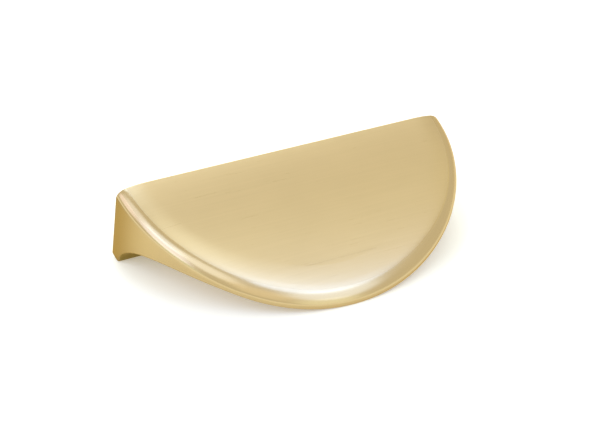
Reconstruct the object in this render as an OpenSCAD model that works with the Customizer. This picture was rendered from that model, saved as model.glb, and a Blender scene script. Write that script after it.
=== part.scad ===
// Half-moon cabinet handle, cast in one piece.
// A half-round plate, curved down towards its rim, runs into an upright back wall
// through one deep cove. The fingers hook behind the rim, under the plate.
// The origin lies midway between the two screw holes, on the flat back face.
// X runs along the straight back edge, -Y points away from the cabinet, +Z is up.

/* [Plate] */
// Length of the straight back edge
handle_length = 100; // [80:1:160]
// How far the rim stands out from the cabinet front
projection = 50; // [40:1:80]
// Thickness of the plate towards the rim
plate_t = 4; // [3:0.1:8]
// How far the middle of the rim lies below the back edge
front_drop = 9; // [2:0.5:16]

/* [Rim] */
// Width of the rounding along the top of the rim, seen from above
rim_round_w = 4.6; // [1:0.1:8]
// Height of the rounding along the top of the rim
rim_round_h = 3; // [0.5:0.1:5]
// Radius of the small rounding along the lower edge
lower_edge_r = 0.8; // [0.1:0.1:1.2]

/* [Back wall] */
// Height of the back wall
wall_h = 25; // [20:0.5:40]
// Thickness of the back wall at its foot
wall_t = 4; // [2:0.5:8]
// Depth of the cove, from the front of the wall's foot to the plain plate
cove_w = 35; // [15:1:60]
// Curve of the cove: 2 gives an ellipse and lower values a flatter, fuller one
cove_power = 1.65; // [1.3:0.05:2]

/* [Screw holes] */
// Distance between the two screw holes
hole_spacing = 64; // [32:1:70]
// Diameter of the tapped holes, across the roots of their thread
hole_d = 4; // [3:0.5:6]
// Depth of a hole's full diameter
hole_depth = 8; // [5:0.5:10]
// How far the screw holes lie below the top of the back edge
hole_drop = 11; // [7:0.5:14]
// Width of the chamfer at the mouth of each hole
hole_chamfer = 0.4; // [0.1:0.1:1]
// Full angle of the drill's point
drill_point = 118; // [90:1:140]

/* [Hidden] */

// Steps of the mesh along the cove, round the front and round each edge
cove_steps = 20;
front_steps = 13;
round_steps = 10;
edge_steps = 4;
hole_steps = 64;
// Runs a cutter a little past the face it opens
past = 0.5;

half_length = handle_length / 2;
// The top is part of a wide cylinder, level at the back edge
top_r = (pow(projection, 2) + pow(front_drop, 2)) / (2 * front_drop);
// A rounding takes no more than its share of the plate's thickness
round_h = min(rim_round_h, 0.8 * plate_t);
edge_r = min(lower_edge_r, 0.8 * (plate_t - round_h));
// The cove ends before the rounding of the rim begins
cove_run = min(cove_w, projection - wall_t - rim_round_w);
// Height of the cove where it leaves the wall's foot
cove_h = wall_h - plate_t - drop(wall_t);

// How far the top lies below the back edge, at a depth from the back face
function drop(depth) = top_r - sqrt(pow(top_r, 2) - pow(depth, 2));

// The cove's share of its full height: 1 at the wall's foot, 0 at its far end
function cove_share(s) = 1 - pow(1 - pow(1 - s, cove_power), 1 / cove_power);

// Height of the top at a depth
function top_z(depth) = hole_drop - drop(depth);

// Height of the underside at a depth: the wall's foot, then the cove, then the plate
function under_z(depth) =
    depth <= wall_t
        ? hole_drop - wall_h
        : top_z(depth) - plate_t - cove_h * cove_share(min(1, (depth - wall_t) / cove_run));

// Depths along the cove, closer together where it is steep
cove_depths = [
    for (i = [0 : cove_steps])
        wall_t + cove_run * (1 - pow(cos(90 * i / cove_steps), 2 / cove_power))
];

// Angles round the rim, from the right end to the middle, then mirrored to the left end
cove_angles = [for (depth = cove_depths) asin(depth / projection)];
cove_end = cove_angles[cove_steps];
front_angles = [for (i = [1 : front_steps]) cove_end + (90 - cove_end) * i / front_steps];
right_angles = concat([0], cove_angles, front_angles);
middle = len(right_angles) - 1;
left_angles = [for (i = [middle - 1 : -1 : 0]) 180 - right_angles[i]];
rim_angles = concat(right_angles, left_angles);
last_section = len(rim_angles) - 1;

// A point of the rim's outline, moved inwards at right angles to it: [x, depth]
function rim_point(angle, inset) =
    let (
        across = [cos(angle) / half_length, sin(angle) / projection],
        outward = across / norm(across)
    )
    [half_length * cos(angle), projection * sin(angle)] - inset * outward;

// The rounding from the top of the plate to the side of the rim
function upper_edge(angle) = [
    for (i = [0 : round_steps])
        let (
            turn = 90 * i / round_steps,
            p = rim_point(angle, rim_round_w * (1 - sin(turn)))
        )
        [p[0], -p[1], top_z(p[1]) - round_h * (1 - cos(turn))]
];

// The rounding from the side of the rim to the underside
function lower_edge(angle) = [
    for (i = [0 : edge_steps])
        let (
            turn = 90 * i / edge_steps,
            p = rim_point(angle, edge_r * (1 - cos(turn)))
        )
        [p[0], -p[1], under_z(p[1]) + edge_r * (1 - sin(turn))]
];

// One section of the rim for each angle, from the top round to the underside
sections = [for (angle = rim_angles) concat(upper_edge(angle), lower_edge(angle))];
section_size = round_steps + edge_steps + 2;
shell_points = [for (section = sections) each section];

function point_index(section, place) = section * section_size + place;

// Two triangles over four corners, given in the order that faces outwards
function two_triangles(a, b, c, d) = [[a, b, c], [a, c, d]];

// The edge and side of the rim, between neighbouring sections
rim_faces = [
    for (i = [0 : last_section - 1], j = [0 : section_size - 2])
        each two_triangles(
            point_index(i, j), point_index(i, j + 1),
            point_index(i + 1, j + 1), point_index(i + 1, j)
        )
];

// Strips across the top, from each section to its mirror image
top_faces = [
    for (i = [0 : middle - 1])
        let (
            right = [point_index(i, 0), point_index(i + 1, 0)],
            left = [point_index(last_section - i, 0), point_index(last_section - i - 1, 0)]
        )
        each i == middle - 1
            ? [[right[0], right[1], left[0]]]
            : two_triangles(right[0], right[1], left[1], left[0])
];

// Strips across the wall's foot, the cove and the underside of the plate
under_faces = [
    for (i = [0 : middle - 1])
        let (
            inner = section_size - 1,
            right = [point_index(i, inner), point_index(i + 1, inner)],
            left = [point_index(last_section - i, inner), point_index(last_section - i - 1, inner)]
        )
        each i == middle - 1
            ? [[right[1], right[0], left[0]]]
            : two_triangles(right[1], right[0], left[0], left[1])
];

// The flat back face, bounded by the sections at both ends
back_face = concat(
    [for (j = [section_size - 1 : -1 : 0]) point_index(0, j)],
    [for (j = [0 : section_size - 1]) point_index(last_section, j)]
);

module body() {
    polyhedron(
        points = shell_points,
        faces = concat(rim_faces, top_faces, under_faces, [back_face]),
        convexity = 6
    );
}

// A drilled and chamfered hole, with its mouth on the back face at y = 0
module screw_hole() {
    hole_r = hole_d / 2;
    point_h = hole_r / tan(drill_point / 2);
    rotate([90, 0, 0]) {
        translate([0, 0, -past])
            cylinder(r = hole_r, h = hole_depth + past, $fn = hole_steps);
        translate([0, 0, hole_depth])
            cylinder(r1 = hole_r, r2 = 0, h = point_h, $fn = hole_steps);
        translate([0, 0, -past])
            cylinder(
                r1 = hole_r + hole_chamfer + past,
                r2 = hole_r,
                h = hole_chamfer + past,
                $fn = hole_steps
            );
    }
}

module handle() {
    color([0.84, 0.74, 0.54])
        difference() {
            body();
            for (side = [-1, 1])
                translate([side * hole_spacing / 2, 0, 0])
                    screw_hole();
        }
}

handle();
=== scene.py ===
import math

import bmesh
import bpy
from mathutils import Matrix, Vector


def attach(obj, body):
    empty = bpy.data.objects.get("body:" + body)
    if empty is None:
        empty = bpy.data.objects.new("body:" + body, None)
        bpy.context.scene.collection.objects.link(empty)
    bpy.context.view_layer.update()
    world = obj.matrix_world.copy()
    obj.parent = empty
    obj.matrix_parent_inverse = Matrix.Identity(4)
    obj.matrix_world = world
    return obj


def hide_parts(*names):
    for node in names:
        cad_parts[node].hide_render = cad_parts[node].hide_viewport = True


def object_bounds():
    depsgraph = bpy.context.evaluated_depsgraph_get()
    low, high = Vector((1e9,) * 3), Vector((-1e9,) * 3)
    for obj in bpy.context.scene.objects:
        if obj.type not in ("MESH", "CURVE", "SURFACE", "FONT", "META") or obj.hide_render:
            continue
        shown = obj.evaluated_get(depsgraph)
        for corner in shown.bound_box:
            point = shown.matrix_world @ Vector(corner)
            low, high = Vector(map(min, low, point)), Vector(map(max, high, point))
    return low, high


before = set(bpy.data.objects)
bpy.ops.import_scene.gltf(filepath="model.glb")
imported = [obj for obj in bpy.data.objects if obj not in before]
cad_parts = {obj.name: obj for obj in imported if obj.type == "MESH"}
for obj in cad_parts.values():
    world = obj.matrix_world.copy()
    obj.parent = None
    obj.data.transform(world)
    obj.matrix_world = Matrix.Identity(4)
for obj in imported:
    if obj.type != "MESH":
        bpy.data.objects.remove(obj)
CAD_LOW, CAD_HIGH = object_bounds()

MM = 0.001

# The outer sizes come from the frame's box, and the section repeats the part's own values
RIM_R = CAD_HIGH.x
TOP = CAD_HIGH.z
FOOT = CAD_LOW.z
WALL_T = 4.0 * MM
PLATE_T = 4.0 * MM
FRONT_DROP = 9.0 * MM
COVE_W = 35.0 * MM
COVE_POWER = 1.65
TOP_R = (RIM_R ** 2 + FRONT_DROP ** 2) / (2 * FRONT_DROP)

# The small roundings: the lower edge of the side, the front edge of the foot, the back's edges
EDGE_R = 0.5 * MM
FOOT_EDGE_R = 0.9 * MM
BACK_EDGE_R = 0.25 * MM

# The rounding on top of the rim: its radius in mm at each slope in degrees, from the plate (0)
# to the side (90). Near the ends it has a tight crease and a flatter band, and it turns into the
# rounder front between two depths from the back
END_RADII = (
    (0, 37), (8, 32), (14, 3.2), (20, 4.4), (25, 5.5), (31, 5.0), (36, 3.6), (48, 4.0), (54, 1.8),
    (62, 2.8), (76, 2.6), (90, 0.8),
)
FRONT_RADII = (
    (0, 55), (6, 40), (8, 8), (14, 7), (28, 7), (34, 5.0), (44, 5.0), (50, 1.2), (90, 0.9),
)
ROUNDER_FROM = 18.0 * MM
ROUNDER_TO = 46.0 * MM

# Tapped holes for M4 screws. The thread is flat on its crest and at its root for these shares of
# its pitch. It fades out over a short length, a little before the end of the hole
HOLE_X = 32.0 * MM
HOLE_DEPTH = 8.0 * MM
HOLE_CHAMFER = 0.4 * MM
DRILL_POINT = 1.0 * MM
THREAD_ROOT_R = 2.0 * MM
THREAD_CREST_R = 1.65 * MM
THREAD_PITCH = 0.7 * MM
CREST_FLAT = 1 / 8
ROOT_FLAT = 1 / 4
THREAD_FADE = 0.5 * MM
THREAD_END = 0.3 * MM

# Fineness of the mesh
COVE_STEPS = 60
FRONT_STEPS = 40
FOOT_STEPS = 5
ROUND_STEPS = 30
ROUND_SUBSTEPS = 50
SIDE_STEPS = 8
EDGE_STEPS = 6
BACK_EDGE_STEPS = 4
SKIN_CUTS = 15
HOLE_SIDES = 48
STEPS_PER_PITCH = 10

# Points closer together than this count as one
HAIR = 0.001 * MM
# A face may reach this far past the border of its surface
SLACK = 0.002 * MM
# A reach of this many edge lengths takes in a whole edge
JUST_OVER = 1.01
# The climb of the lower edge is measured over this length to either side
CLIMB_STEP = 0.005 * MM
# The shape that cuts a hole stands this far out of the back
TAP_STANDS_OUT = 0.5 * MM

# The surfaces of the handle, which have a material each
PLATE, RIM, SIDE, UNDERSIDE, BACK, TAPPED = range(6)
# Where one surface ends and the next begins: how far in from the side of the rim, and how much
# of a face's outward direction points back or up
BRUSHED_EDGE = 2.8 * MM
SIDE_BAND = 0.8 * MM
FACES_BACK = 0.98
FACES_UP = 0.02
FACES_ASIDE = 0.3
# An edge that turns by less than this is shaded smooth
SMOOTH_BELOW = math.radians(35)

# The tones of the brass. The side and the underside are set darker than the plate: painted shade.
# On the last stretch up to the back edge, the side and the underside deepen to another tone:
# painted shade on the ends of the handle and in the cove next to the wall
BRASS = (0.71, 0.54, 0.27)
SIDE_SHADED_BRASS = (0.68, 0.51, 0.25)
SIDE_BACK_PAINTED_SHADE = (0.41, 0.28, 0.12)
UNDER_SHADED_BRASS = (0.52, 0.37, 0.15)
UNDER_BACK_PAINTED_SHADE = (0.33, 0.26, 0.09)
# The painted shade on the side and the underside reaches this far in from the back edge
PAINTED_SHADE_FAR = 18.0 * MM
# The metal's colour where it is seen nearly edge on
EDGE_TINT = (0.90, 0.72, 0.42)

# The finish of each surface, in the order of the surfaces: name, tone, painted shade tone at the
# back edge, width, length and depth of its scratches, roughness, anisotropy and lacquer
FINISHES = (
    ("plate", BRASS, None, 0.14 * MM, 12 * MM, 0.0005 * MM, 0.30, 0.5, 0.5),
    ("rim", BRASS, None, 0.20 * MM, 9 * MM, 0.0003 * MM, 0.20, 0.0, 0.5),
    ("side", SIDE_SHADED_BRASS, SIDE_BACK_PAINTED_SHADE, 0.20 * MM, 9 * MM, 0.0003 * MM, 0.24, 0.0, 0.0),
    ("underside", UNDER_SHADED_BRASS, UNDER_BACK_PAINTED_SHADE, 0.25 * MM, 8 * MM, 0.003 * MM, 0.36, 0.4, 0.0),
    ("back", BRASS, None, 0.30 * MM, 12 * MM, 0.003 * MM, 0.34, 0.5, 0.0),
    ("tapped", BRASS, None, 0.10 * MM, 3 * MM, 0.001 * MM, 0.22, 0.2, 0.0),
)
# How much longer and wider the broad bands of the brushing are than its fine scratches, their
# share of the grain, and the detail in the noise of each
BAND_LENGTH = 3
BAND_WIDTH = 4
BAND_SHARE = 0.3
FINE_DETAIL = 3
BAND_DETAIL = 2
SCRATCH_ROUGHNESS = 0.6
# Cloudy patches, which vary the tone together with the broad bands
PATCHES_PER_METRE = 60
PATCH_DETAIL = 2
PATCH_SHARE = 0.5
# Most of a noise's values lie in this span. Over it, the tone and the roughness change by these
# factors
NOISE_SPAN = (0.3, 0.7)
TONE_SPAN = (0.97, 1.03)
ROUGHNESS_SPAN = (0.9, 1.12)
LACQUER_ROUGHNESS = 0.22
# A quarter turn, so that highlights spread across the scratches
ACROSS = 0.25

# How the handle lies: tipped forwards on the foot of its wall and the front of its rim
LYING_TILT = math.radians(14.62)
TIP = Matrix.Rotation(LYING_TILT, 3, "X")

# The paper that it lies on. Its glow is the part of its white that doesn't depend on the light:
# how much of it the camera sees, and how much the metal mirrors
PAPER_SIZE = 6
PAPER_COLOUR = (0.98, 0.96, 0.78)
GLOW_COLOUR = (1.0, 0.96, 0.86)
GLOW_SEEN = 0.27
GLOW_MIRRORED = 0.40

# The light of the room
WORLD_COLOUR = (1.0, 0.975, 0.895)
WORLD_LIGHT = 0.76
# Softboxes: azimuth, elevation and width in degrees, and the light of each (red, green, blue)
SOFTBOXES = (
    ("left_low", -72, 10, 38, (0.16, 0.27, 0.32)),
    ("left_middle", -76, 32, 40, (0.59, 0.72, 1.51)),
    ("left_back", -118, 30, 28, (0.51, 0.52, 0.96)),
    ("front_low", 12, 10, 26, (0.33, 0.42, 0.46)),
    ("front", 20, 31, 28, (0.48, 0.70, 1.40)),
    ("front_high", 27, 52, 28, (0.66, 1.08, 2.60)),
    ("front_top", 29, 70, 18, (0.62, 0.90, 1.80)),
    ("above", 85, 81, 20, (0.66, 0.79, 0.92)),
    ("left_high", -72, 52, 28, (0.40, 0.60, 1.20)),
    ("left_back_high", -108, 52, 28, (0.38, 0.49, 0.90)),
    ("left_front_high", -36, 50, 30, (0.52, 0.66, 1.05)),
    ("back_low", 162, 32, 34, (2.20, 2.50, 3.20)),
    ("back_high", 180, 52, 30, (0.71, 1.03, 1.83)),
    ("right_high", 86, 54, 34, (0.12, 0.12, 0.05)),
    ("front_right_high", 58, 60, 24, (0.16, 0.18, 0.28)),
    ("front_left", -12, 30, 28, (0.23, 0.21, 0.19)),
)

# The camera, as seen from the surface that the handle lies on. Its lens and sensor are in mm, and
# it sees what lies between two distances in metres
VIEW_AZIMUTH = math.radians(-26.064)
VIEW_ELEVATION = math.radians(31.152)
VIEW_DISTANCE = 549.83 * MM
AIM = Vector((-3.435, -19.783, 6.332)) * MM
LENS = 120
SENSOR_WIDTH = 36
SEES_FROM = 0.02
SEES_TO = 50


def clamp(value):
    return min(1.0, max(0.0, value))


def top_drop(depth):
    """How far the top lies below the back edge."""
    return TOP_R - math.sqrt(TOP_R ** 2 - depth ** 2)


def top_height(depth):
    return TOP - top_drop(depth)


COVE_H = TOP - FOOT - PLATE_T - top_drop(WALL_T)
# The rounded front edge of the foot runs into the cove here
FOOT_FRONT = WALL_T + COVE_W * (
    1 - (1 - (FOOT_EDGE_R / COVE_H) ** COVE_POWER) ** (1 / COVE_POWER)
)


def cove_share(s):
    """The cove's share of its height: 1 at the foot of the wall, 0 at its far end."""
    return 1 - (1 - (1 - s) ** COVE_POWER) ** (1 / COVE_POWER)


def under_height(depth):
    """Height of the underside: the foot with its rounded front edge, the cove, the plate."""
    past_flat = depth - (FOOT_FRONT - FOOT_EDGE_R)
    if past_flat <= 0:
        return FOOT
    if depth < FOOT_FRONT:
        return FOOT + FOOT_EDGE_R - math.sqrt(FOOT_EDGE_R ** 2 - past_flat ** 2)
    share = cove_share(min(1.0, (depth - WALL_T) / COVE_W))
    return top_height(depth) - PLATE_T - COVE_H * share


# Places along the rim from an end to the middle: depths up to the end of the cove, then shares
# of the angle that is left
COVE_START = math.acos((1 - (FOOT_FRONT - WALL_T) / COVE_W) ** (COVE_POWER / 2))
COVE_DEPTHS = [0.0, (FOOT_FRONT - FOOT_EDGE_R) / 2, FOOT_FRONT - FOOT_EDGE_R]
COVE_DEPTHS += [
    FOOT_FRONT - FOOT_EDGE_R * (1 - math.sin(math.pi / 2 * i / FOOT_STEPS))
    for i in range(1, FOOT_STEPS)
]
COVE_DEPTHS += [
    WALL_T
    + COVE_W
    * (1 - math.cos(COVE_START + (math.pi / 2 - COVE_START) * i / COVE_STEPS) ** (2 / COVE_POWER))
    for i in range(COVE_STEPS + 1)
]
FRONT_SHARES = [i / FRONT_STEPS for i in range(1, FRONT_STEPS + 1)]


def round_profile(radii):
    """The section of the rounding, at even steps of its slope: how far in from the side of the
    rim and how far below the top of the plate each point lies."""
    substeps = ROUND_STEPS * ROUND_SUBSTEPS
    inset, drop = [0.0], [0.0]
    for i in range(substeps):
        slope = 90 * (i + 0.5) / substeps
        for (start, r0), (end, r1) in zip(radii, radii[1:]):
            if start <= slope < end:
                radius = r0 * (r1 / r0) ** ((slope - start) / (end - start)) * MM
        length = radius * math.radians(90 / substeps)
        inset.append(inset[-1] + length * math.cos(math.radians(slope)))
        drop.append(drop[-1] + length * math.sin(math.radians(slope)))
    return [(inset[-1] - inset[i], drop[i]) for i in range(0, substeps + 1, ROUND_SUBSTEPS)]


END_ROUND = round_profile(END_RADII)
FRONT_ROUND = round_profile(FRONT_RADII)


def rounding(step, depth):
    """How far in and how far down a step of the rounding lies, at a depth from the back."""
    share = clamp((depth - ROUNDER_FROM) / (ROUNDER_TO - ROUNDER_FROM))
    share = share * share * (3 - 2 * share)
    return [a + (b - a) * share for a, b in zip(END_ROUND[step], FRONT_ROUND[step])]


def rim_places(inset_at):
    """The places round the rim, from the right end to the left, of a line that lies inset_at
    in from the side: the angle, the inset and the depth of each."""
    places = []
    for depth in COVE_DEPTHS:
        inset = inset_at(depth)
        places.append((math.asin(depth / (RIM_R - inset)), inset, depth))
    cove_end = places[-1][0]
    inset = inset_at(RIM_R)
    for share in FRONT_SHARES:
        angle = cove_end + (math.pi / 2 - cove_end) * share
        places.append((angle, inset, (RIM_R - inset) * math.sin(angle)))
    return places + [(math.pi - angle, inset, depth) for angle, inset, depth in places[-2::-1]]


def rim_point(angle, inset, height):
    radius = RIM_R - inset
    return Vector((radius * math.cos(angle), -radius * math.sin(angle), height))


def round_ring(step):
    """A ring of the rounding on top: step 0 is its inner line and the last the side of the rim."""
    ring = []
    for angle, inset, depth in rim_places(lambda depth: rounding(step, depth)[0]):
        ring.append(rim_point(angle, inset, top_height(depth) - rounding(step, depth)[1]))
    return ring


def edge_ring(turn):
    """A ring of the small rounding below: turn 0 is the side of the rim, and a quarter turn the
    underside. It is rounded square to the edge, also where the edge climbs from the foot."""
    lift = EDGE_R * (1 - math.sin(turn))
    ring = []
    for angle, inset, depth in rim_places(lambda depth: EDGE_R * (1 - math.cos(turn))):
        ahead, behind = min(depth + CLIMB_STEP, RIM_R), max(depth - CLIMB_STEP, 0)
        rise = under_height(ahead) - under_height(behind)
        climb = rise / (2 * CLIMB_STEP) * math.cos(angle)
        square = math.hypot(1, climb)
        slide = -lift * climb / square / (RIM_R - inset)
        ring.append(rim_point(angle + slide, inset, under_height(depth) + lift / square))
    return ring


def side_ring(share):
    """A ring on the side of the rim, between the two roundings."""
    above, below = round_ring(ROUND_STEPS), edge_ring(0)
    ring = []
    for a, b in zip(above, below):
        angle_a, angle_b = (math.acos(p.x / RIM_R) for p in (a, b))
        angle = angle_a + (angle_b - angle_a) * share
        ring.append(rim_point(angle, 0, a.z + (b.z - a.z) * share))
    return ring


def leave_edit():
    if bpy.context.object and bpy.context.object.mode == "EDIT":
        bpy.ops.object.mode_set(mode="OBJECT")


def deselect_all():
    leave_edit()
    bpy.ops.object.select_all(action="DESELECT")


def select_only(piece):
    deselect_all()
    piece.select_set(True)
    bpy.context.view_layer.objects.active = piece


def name_piece(name):
    piece = bpy.context.object
    piece.name = name
    piece.data.name = name
    return piece


def pick(kind, test):
    """Selects only the vertices or edges of the piece in hand that pass the test."""
    bpy.context.tool_settings.mesh_select_mode = (kind == "VERT", kind == "EDGE", False)
    bpy.ops.mesh.select_all(action="DESELECT")
    data = bpy.context.object.data
    mesh = bmesh.from_edit_mesh(data)
    for part in mesh.verts if kind == "VERT" else mesh.edges:
        if test(part):
            part.select = True
    mesh.select_flush_mode()
    bmesh.update_edit_mesh(data)


def picked_ring(mesh):
    """The selected ring of vertices, from right to left."""
    return sorted((vert for vert in mesh.verts if vert.select), key=lambda vert: -vert.co.x)


def lay_ring(places):
    """Puts the selected ring of vertices on its places, from right to left."""
    mesh = bmesh.from_edit_mesh(bpy.context.object.data)
    for vert, place in zip(picked_ring(mesh), places, strict=True):
        vert.co = place
    bmesh.update_edit_mesh(bpy.context.object.data)


def add_ring(places):
    bpy.ops.mesh.extrude_edges_indiv()
    lay_ring(places)


def close_skin():
    """Joins the right half of the selected ring to its left half, across the handle, and
    closes the last corner at the front."""
    mesh = bmesh.from_edit_mesh(bpy.context.object.data)
    ring = picked_ring(mesh)
    middle = len(ring) // 2
    tip = ring[middle].co.copy()
    reach = JUST_OVER * (ring[middle - 1].co - tip).length
    halves = {edge.index for edge in mesh.edges if edge.select and ring[middle] not in edge.verts}
    pick("EDGE", lambda e: e.index in halves)
    bpy.ops.mesh.bridge_edge_loops(number_cuts=SKIN_CUTS, interpolation="LINEAR")
    pick("EDGE", lambda e: e.is_boundary and all((v.co - tip).length < reach for v in e.verts))
    bpy.ops.mesh.edge_face_add()


def close_outline():
    """Fills the last opening with one face, and turns all faces outwards."""
    pick("EDGE", lambda e: e.is_boundary)
    bpy.ops.mesh.edge_face_add()
    bpy.ops.mesh.select_all(action="SELECT")
    bpy.ops.mesh.normals_make_consistent(inside=False)


def rounded_place(place):
    """A place in mm, rounded so that two copies of a point are equal."""
    return tuple(round(c / MM, 4) for c in place)


def make_casting():
    """The whole handle: half a ring of edges, drawn up over the rounding to the top and down
    over the side to the underside, and closed across by both skins and the back face."""
    deselect_all()
    bpy.ops.mesh.primitive_circle_add(
        vertices=2 * (len(rim_places(lambda depth: 0)) - 1), radius=RIM_R, fill_type="NOTHING"
    )
    casting = name_piece("handle_casting")
    bpy.ops.object.mode_set(mode="EDIT")
    pick("VERT", lambda v: v.co.y > HAIR)
    bpy.ops.mesh.delete(type="VERT")
    pick("EDGE", lambda e: True)
    lay_ring(round_ring(ROUND_STEPS))
    for i in range(ROUND_STEPS - 1, -1, -1):
        add_ring(round_ring(i))
    close_skin()

    side_top = {rounded_place(place) for place in round_ring(ROUND_STEPS)}
    pick(
        "EDGE", lambda e: e.is_boundary and all(rounded_place(v.co) in side_top for v in e.verts)
    )
    for i in range(1, SIDE_STEPS + 1):
        add_ring(side_ring(i / SIDE_STEPS))
    for i in range(1, EDGE_STEPS + 1):
        add_ring(edge_ring(math.pi / 2 * i / EDGE_STEPS))
    close_skin()

    close_outline()
    pick("EDGE", lambda e: all(abs(v.co.y) < HAIR for v in e.verts))
    bpy.ops.mesh.bevel(offset=BACK_EDGE_R, segments=BACK_EDGE_STEPS, affect="EDGES")
    leave_edit()
    return casting


def thread_radius(place):
    """Radius of the tapped hole, towards the place's x and z and at its y: a right-handed M4
    thread that runs into the chamfer at the mouth and fades into the plain core at its end."""
    chamfer = THREAD_ROOT_R + HOLE_CHAMFER + place.y
    turn = (place.y / THREAD_PITCH - math.atan2(place.x, place.z) / (2 * math.pi)) % 1
    flank = (1 - CREST_FLAT - ROOT_FLAT) / 2
    rise = clamp((abs(turn - 0.5) - CREST_FLAT / 2) / flank)
    fade = clamp((place.y + HOLE_DEPTH - THREAD_END) / THREAD_FADE)
    thread = THREAD_CREST_R + (THREAD_ROOT_R - THREAD_CREST_R) * rise * fade
    return max(chamfer, thread)


def make_tap():
    """The shape that cuts a tapped hole, on the axis of the right hole."""
    deselect_all()
    bpy.ops.mesh.primitive_circle_add(
        vertices=HOLE_SIDES,
        radius=THREAD_ROOT_R,
        fill_type="NOTHING",
        location=(0, TAP_STANDS_OUT, 0),
        rotation=(math.radians(90), 0, 0),
    )
    tap = name_piece("tap")
    bpy.ops.object.transform_apply(location=True, rotation=True, scale=True)
    bpy.ops.object.mode_set(mode="EDIT")
    pick("EDGE", lambda e: True)
    length = TAP_STANDS_OUT + HOLE_DEPTH
    steps = round(length / (THREAD_PITCH / STEPS_PER_PITCH))
    for i in range(steps + 1):
        if i:
            bpy.ops.mesh.extrude_edges_indiv()
        mesh = bmesh.from_edit_mesh(tap.data)
        for vert in mesh.verts:
            if vert.select:
                vert.co.y = TAP_STANDS_OUT - length * i / steps
                ring = Vector((vert.co.x, 0, vert.co.z)).normalized()
                radius = thread_radius(Vector((ring.x, vert.co.y, ring.z)))
                vert.co.x, vert.co.z = ring.x * radius, ring.z * radius
        bmesh.update_edit_mesh(tap.data)
    bpy.ops.mesh.extrude_edges_indiv()
    bpy.ops.transform.translate(value=(0, -DRILL_POINT, 0))
    bpy.ops.mesh.merge(type="CENTER")
    close_outline()
    bpy.ops.transform.translate(value=(HOLE_X, 0, 0))
    leave_edit()
    return tap


def tap_holes(casting):
    """Cuts both tapped holes into the back face."""
    tap = make_tap()
    other = tap.copy()
    other.data = tap.data.copy()
    bpy.context.collection.objects.link(other)
    other.data.transform(Matrix.Translation((-2 * HOLE_X, 0, 0)))
    for cutter in (tap, other):
        select_only(casting)
        cut = casting.modifiers.new("tapped hole", "BOOLEAN")
        cut.operation = "DIFFERENCE"
        cut.solver = "EXACT"
        cut.object = cutter
        bpy.ops.object.modifier_apply(modifier=cut.name)
        bpy.data.objects.remove(cutter)


def zone(mesh, face):
    """Which surface of the handle a face belongs to."""
    centre, normal = face.center, face.normal
    reach = max(math.hypot(*mesh.vertices[i].co.xy) for i in face.vertices)
    in_hole = math.hypot(abs(centre.x) - HOLE_X, centre.z) < THREAD_ROOT_R + HOLE_CHAMFER
    if in_hole and -HOLE_DEPTH - DRILL_POINT < centre.y < -SLACK:
        return TAPPED
    if normal.y > FACES_BACK:
        return BACK
    if normal.z > FACES_UP and reach < RIM_R - BRUSHED_EDGE + SLACK:
        return PLATE
    if normal.z < FACES_UP and reach < RIM_R - EDGE_R + SLACK:
        return UNDERSIDE
    if normal.z < -FACES_ASIDE:
        return UNDERSIDE
    if normal.z < FACES_ASIDE and reach > RIM_R - SIDE_BAND:
        return SIDE
    return RIM


def brushing(place, part):
    """Where a point lies along the brushing and across it, in metres."""
    if part == PLATE:
        return place.x, -place.y
    if part == UNDERSIDE:
        return place.x, place.z - place.y
    if part == BACK:
        return place.x, place.z
    if part == TAPPED:
        turn = math.atan2(place.x - math.copysign(HOLE_X, place.x), place.z)
        return turn * THREAD_ROOT_R, place.y
    radius = math.hypot(place.x, place.y)
    round_rim = math.acos(max(-1, min(1, place.x / radius))) * RIM_R
    if part == SIDE:
        return place.z, round_rim
    inset = RIM_R - radius
    below = top_height(-place.y) - place.z
    return round_rim, inset - below


def lay_brushing(casting):
    """Gives each face the material of its surface, and a map that follows the brushing: along
    the handle on its plate, back and underside, upright on its side, and round the rounding of
    the rim and the holes."""
    mesh = casting.data
    layer = mesh.uv_layers.new(name="brushing")
    for face in mesh.polygons:
        part = zone(mesh, face)
        face.material_index = part
        for corner in face.loop_indices:
            place = mesh.vertices[mesh.loops[corner].vertex_index].co
            layer.data[corner].uv = brushing(place, part)


def clear_tree(owner):
    """The empty node tree of a material or world."""
    owner.use_nodes = True
    owner.node_tree.nodes.clear()
    return owner.node_tree


def add_node(tree, kind, inputs, **settings):
    """Adds a shader node. An input is either set to a value or linked to an output."""
    node = tree.nodes.new("ShaderNode" + kind)
    for name, value in settings.items():
        setattr(node, name, value)
    for name, value in inputs.items():
        if isinstance(value, bpy.types.NodeSocket):
            tree.links.new(value, node.inputs[name])
        else:
            node.inputs[name].default_value = value
    return node


def mix_shaders(tree, share, a, b):
    """The first shader, turned into the second by the share."""
    return add_node(tree, "MixShader", {"Fac": share, 1: a, 2: b}).outputs["Shader"]


def paint_shade_to_back(tree, place, tone, painted_back_shade):
    """Paints shade: turns the tone into the darker painted shade tone over the last stretch up to
    the back edge.
    """
    depth = add_node(tree, "SeparateXYZ", {"Vector": place}).outputs["Y"]
    near = add_node(
        tree,
        "MapRange",
        {"Value": depth, "From Min": -PAINTED_SHADE_FAR, "From Max": 0.0},
        interpolation_type="SMOOTHSTEP",
    )
    mix = add_node(
        tree,
        "Mix",
        {"Factor": near.outputs["Result"], "A": tone, "B": (*painted_back_shade, 1)},
        data_type="RGBA",
    )
    return mix.outputs["Result"]


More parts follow.
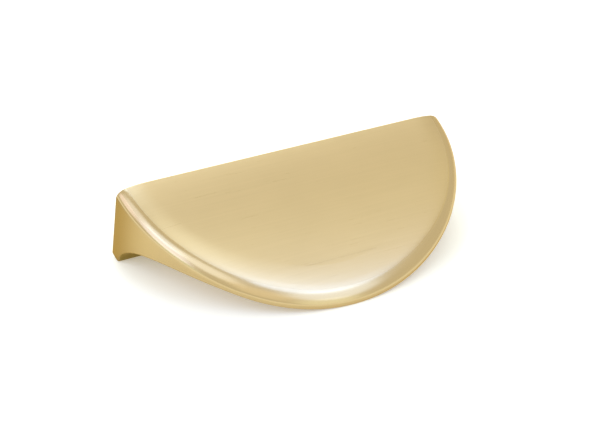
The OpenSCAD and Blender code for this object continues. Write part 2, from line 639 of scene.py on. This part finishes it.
def brushed_brass(name, tone, painted_back_shade, width, length, depth, roughness, anisotropy, lacquer):
    """Satin brass, with or without a thin clear lacquer. The scratches of the brushing are long
    and fine, with some broader bands, and the finish varies a little over the surface. Where it
    has a painted shade tone, the metal darkens to it towards the back edge: painted shade."""
    material = bpy.data.materials.new("brass_" + name)
    tree = clear_tree(material)
    along = add_node(tree, "UVMap", {}, uv_map="brushing").outputs["UV"]
    place = add_node(tree, "TexCoord", {}).outputs["Object"]

    def scratches(run, gap, detail):
        spread = add_node(tree, "Mapping", {"Vector": along, "Scale": (1 / run, 1 / gap, 1)})
        noise = add_node(
            tree,
            "TexNoise",
            {
                "Vector": spread.outputs["Vector"],
                "Scale": 1,
                "Detail": detail,
                "Roughness": SCRATCH_ROUGHNESS,
            },
        )
        return noise.outputs["Fac"]

    def blend(a, b, share):
        mix = add_node(tree, "Mix", {"Factor": share, "A": a, "B": b}, data_type="FLOAT")
        return mix.outputs["Result"]

    fine = scratches(length, width, FINE_DETAIL)
    bands = scratches(BAND_LENGTH * length, BAND_WIDTH * width, BAND_DETAIL)
    patches = add_node(
        tree,
        "TexNoise",
        {"Vector": place, "Scale": PATCHES_PER_METRE, "Detail": PATCH_DETAIL},
    )
    grain = blend(fine, bands, BAND_SHARE)
    uneven = blend(bands, patches.outputs["Fac"], PATCH_SHARE)

    ramp = add_node(tree, "ValToRGB", {"Fac": uneven})
    for element, noise, factor in zip(ramp.color_ramp.elements, NOISE_SPAN, TONE_SPAN):
        element.position = noise
        element.color = (*(c * factor for c in tone), 1)
    colour = ramp.outputs["Color"]
    # Painted shade: the side and the underside darken towards the back edge
    if painted_back_shade:
        colour = paint_shade_to_back(tree, place, colour, painted_back_shade)

    gloss = add_node(
        tree,
        "MapRange",
        {
            "Value": grain,
            "From Min": NOISE_SPAN[0],
            "From Max": NOISE_SPAN[1],
            "To Min": roughness * ROUGHNESS_SPAN[0],
            "To Max": roughness * ROUGHNESS_SPAN[1],
        },
    )
    bump = add_node(tree, "Bump", {"Height": grain, "Strength": 1, "Distance": depth})
    tangent = add_node(tree, "Tangent", {}, direction_type="UV_MAP", uv_map="brushing")
    shader = add_node(
        tree,
        "BsdfPrincipled",
        {
            "Base Color": colour,
            "Metallic": 1,
            "Roughness": gloss.outputs["Result"],
            "Normal": bump.outputs["Normal"],
            "Tangent": tangent.outputs["Tangent"],
            "Specular Tint": (*EDGE_TINT, 1),
            "Anisotropic": anisotropy,
            "Anisotropic Rotation": ACROSS,
            "Coat Weight": lacquer,
            "Coat Roughness": LACQUER_ROUGHNESS,
        },
    )
    add_node(tree, "OutputMaterial", {"Surface": shader.outputs["BSDF"]})
    return material


def finish_casting(casting):
    select_only(casting)
    bpy.ops.object.shade_smooth_by_angle(angle=SMOOTH_BELOW)
    weight = casting.modifiers.new("even shading", "WEIGHTED_NORMAL")
    weight.keep_sharp = True
    bpy.ops.object.modifier_apply(modifier=weight.name)
    for finish in FINISHES:
        casting.data.materials.append(brushed_brass(*finish))
    lay_brushing(casting)
    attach(casting, "root")
    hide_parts("handle")


def table_direction(azimuth, elevation):
    """A direction given over the surface that the handle lies on: azimuth 0 is the front, and
    it grows towards the right."""
    level = math.cos(elevation)
    flat = Vector((math.sin(azimuth) * level, -math.cos(azimuth) * level, math.sin(elevation)))
    return TIP.transposed() @ flat


def white_paper():
    """White paper. Part of its white doesn't depend on the light, so that the shadow stays as
    faint as it should: that part is added where the camera sees the paper, and mixed in where
    the metal mirrors it. From below, the camera looks through the paper."""
    paper = bpy.data.materials.new("white_paper")
    tree = clear_tree(paper)
    ray = add_node(tree, "LightPath", {}).outputs
    face = add_node(tree, "NewGeometry", {}).outputs

    def reckon(operation, a, b):
        return add_node(tree, "Math", {0: a, 1: b}, operation=operation).outputs["Value"]

    def glow(strength):
        light = {"Color": (*GLOW_COLOUR, 1), "Strength": strength}
        return add_node(tree, "Emission", light).outputs["Emission"]

    matt = add_node(tree, "BsdfDiffuse", {"Color": (*PAPER_COLOUR, 1)}).outputs["BSDF"]
    mirrored = reckon("MAXIMUM", ray["Is Glossy Ray"], ray["Is Transmission Ray"])
    paler = mix_shaders(tree, reckon("MULTIPLY", mirrored, GLOW_MIRRORED), matt, glow(1))
    seen = glow(reckon("MULTIPLY", ray["Is Camera Ray"], GLOW_SEEN))
    both = add_node(tree, "AddShader", {0: paler, 1: seen}).outputs["Shader"]
    below = reckon("MULTIPLY", ray["Is Camera Ray"], face["Backfacing"])
    clear = add_node(tree, "BsdfTransparent", {}).outputs["BSDF"]
    add_node(tree, "OutputMaterial", {"Surface": mix_shaders(tree, below, both, clear)})
    paper.cycles.emission_sampling = "NONE"
    return paper


def make_floor(casting):
    """The paper under the foot of the wall and the front of the rim."""
    up = table_direction(0, math.pi / 2)
    low = min(up.dot(vert.co) for vert in casting.data.vertices)
    deselect_all()
    bpy.ops.mesh.primitive_plane_add(
        size=PAPER_SIZE, location=up * low, rotation=(-LYING_TILT, 0, 0)
    )
    floor = name_piece("floor")
    bpy.ops.object.transform_apply(location=True, rotation=True, scale=True)
    floor.data.materials.append(white_paper())


def make_world():
    """A pale room. The camera itself sees plain white past the edge of the paper."""
    world = bpy.data.worlds.new("studio")
    tree = clear_tree(world)
    pale = {"Color": (*WORLD_COLOUR, 1), "Strength": WORLD_LIGHT}
    room = add_node(tree, "Background", pale).outputs["Background"]
    white = add_node(tree, "Background", {"Color": (1, 1, 1, 1)}).outputs["Background"]
    seen = add_node(tree, "LightPath", {}).outputs["Is Camera Ray"]
    add_node(tree, "OutputWorld", {"Surface": mix_shaders(tree, seen, room, white)})
    bpy.context.scene.world = world


def make_light(name, azimuth, elevation, spread, light):
    """A round soft light far away, as wide as its spread."""
    strength = max(light)
    lamp = bpy.data.lights.new(name, "SUN")
    lamp.angle = math.radians(spread)
    lamp.color = [c / strength for c in light]
    # A sun's strength is what a surface facing it receives, spread over its disc
    lamp.energy = strength * math.pi * math.sin(lamp.angle / 2) ** 2
    sun = bpy.data.objects.new(name, lamp)
    direction = table_direction(math.radians(azimuth), math.radians(elevation))
    sun.rotation_euler = direction.to_track_quat("Z", "Y").to_euler()
    bpy.context.scene.collection.objects.link(sun)


def make_camera():
    camera = bpy.data.objects.new("camera", bpy.data.cameras.new("camera"))
    bpy.context.scene.collection.objects.link(camera)
    towards = table_direction(VIEW_AZIMUTH, VIEW_ELEVATION)
    up = table_direction(0, math.pi / 2)
    right = up.cross(towards).normalized()
    turn = Matrix((right, towards.cross(right), towards)).transposed()
    camera.matrix_world = Matrix.Translation(AIM + towards * VIEW_DISTANCE) @ turn.to_4x4()
    camera.data.lens = LENS
    camera.data.sensor_width = SENSOR_WIDTH
    camera.data.clip_start = SEES_FROM
    camera.data.clip_end = SEES_TO
    bpy.context.scene.camera = camera


casting = make_casting()
tap_holes(casting)
finish_casting(casting)
make_floor(casting)
make_world()
for softbox in SOFTBOXES:
    make_light(*softbox)
make_camera()
bpy.context.scene.view_settings.view_transform = "Standard"
